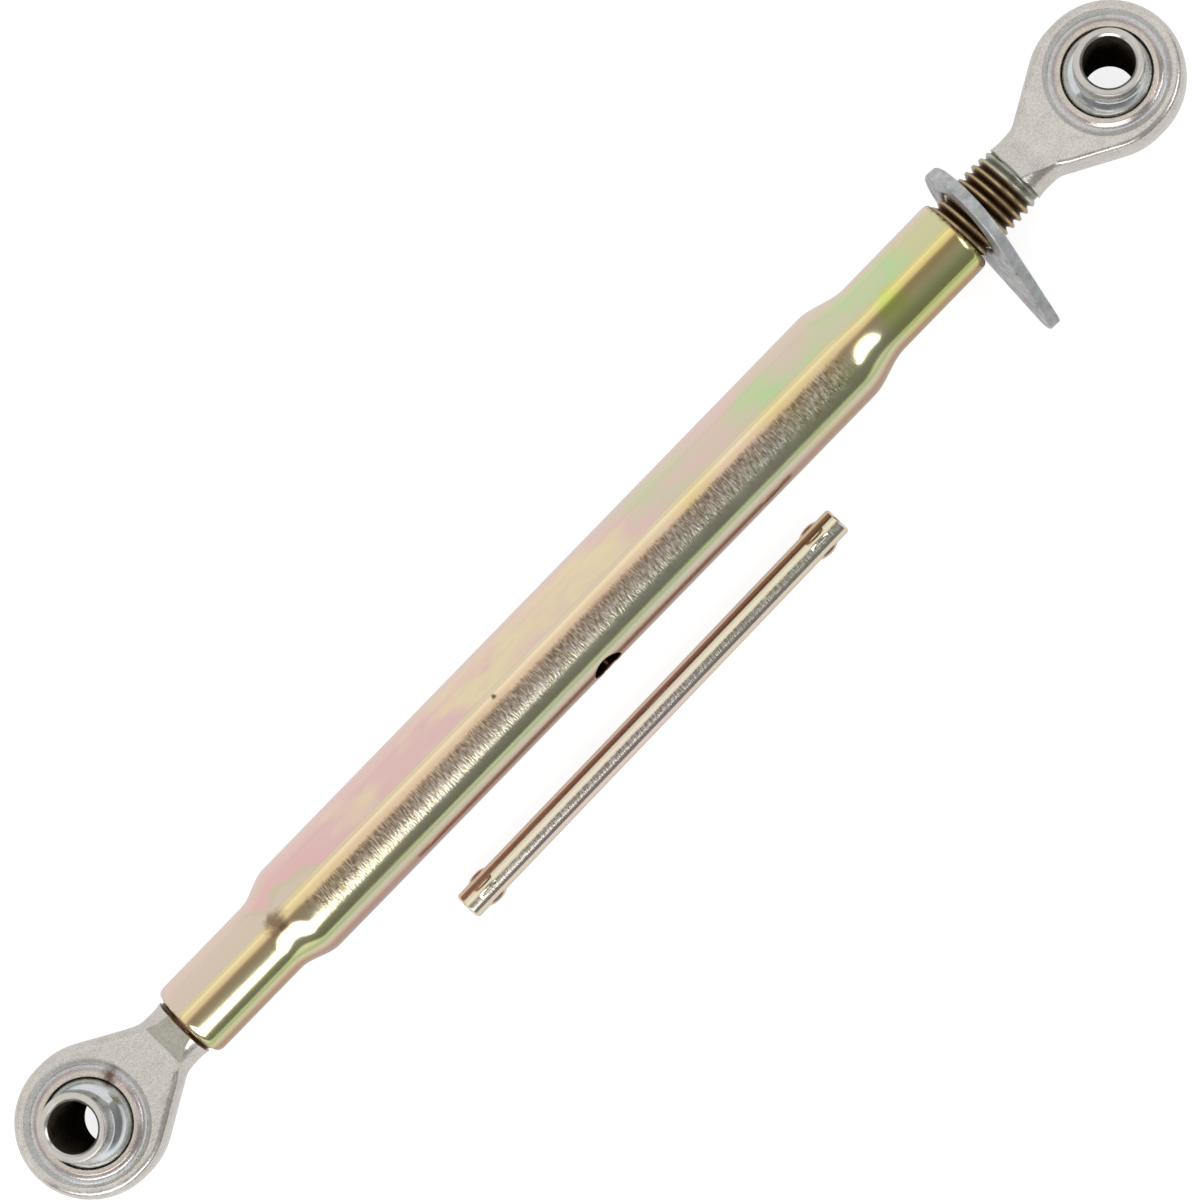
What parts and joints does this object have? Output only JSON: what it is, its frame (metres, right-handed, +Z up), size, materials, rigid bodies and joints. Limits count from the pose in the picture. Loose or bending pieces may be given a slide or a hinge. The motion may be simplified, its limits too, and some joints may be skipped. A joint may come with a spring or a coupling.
{
  "type": "tractor top link",
  "caption": "Adjustable top link: swaged tube tapped with opposite-hand threads, a swivel ball end on a screw at each end, a plate lock nut and a loose tommy bar.",
  "frame": {"origin": "on the surface that the link lies on, under the middle of the whole set; the two ball centres are equally far from it along X", "axes": "+X along the link towards the end with the lock lever, +Z up from the surface, the tommy bar and the lever's tail on the -Y side"},
  "size_m": [0.595, 0.079, 0.0475],
  "materials": {
    "barrel_zinc": "yellow chromated zinc, iridescent",
    "bar_zinc": "yellow chromated zinc, iridescent",
    "forging_zinc": "clear zinc on a forged surface, satin",
    "ball_zinc": "bright zinc, shiny",
    "lever_zinc": "dull zinc"
  },
  "bodies": {
    "barrel": {"barrel": "barrel_zinc"},
    "lower_end": {"lower_end": "forging_zinc"},
    "upper_end": {"upper_end": "forging_zinc"},
    "lower_ball": {"lower_ball": "ball_zinc"},
    "upper_ball": {"upper_ball": "ball_zinc"},
    "lock_lever": {"lock_lever": "lever_zinc"},
    "tommy_bar": {"tommy_bar": "bar_zinc"}
  },
  "joints": [
    {"name": "lower_screw", "type": "slide", "parent": "barrel", "child": "lower_end", "axis": [-1, 0, 0], "range_m": [-0.001, 0.085]},
    {"name": "upper_screw", "type": "slide", "parent": "barrel", "child": "upper_end", "axis": [1, 0, 0], "range_m": [-0.001, 0.085]},
    {"name": "lock_turn", "type": "hinge", "parent": "barrel", "child": "lock_lever", "pos_m": [0.19655, 0.01019, 0.02374], "axis": [1, 0, 0], "range_deg": [-90, 270]},
    {"name": "lower_ball_tilt", "type": "hinge", "parent": "lower_end", "child": "lower_ball", "pos_m": [-0.26915, 0.01019, 0.02374], "axis": [-0.4695, -0.8829, 0], "range_deg": [-25.5, 6.5]},
    {"name": "upper_ball_tilt", "type": "hinge", "parent": "upper_end", "child": "upper_ball", "pos_m": [0.26915, 0.01019, 0.02374], "axis": [-0.7071, 0.7071, 0], "range_deg": [-16.5, 12.5]},
    {"name": "bar_lift", "type": "slide", "parent": "barrel", "child": "tommy_bar", "axis": [0, 0, 1], "range_m": [0, 0.06]}
  ],
  "couplings": [
    {"joint": "upper_screw", "follows": "lower_screw", "ratio": 1}
  ]
}
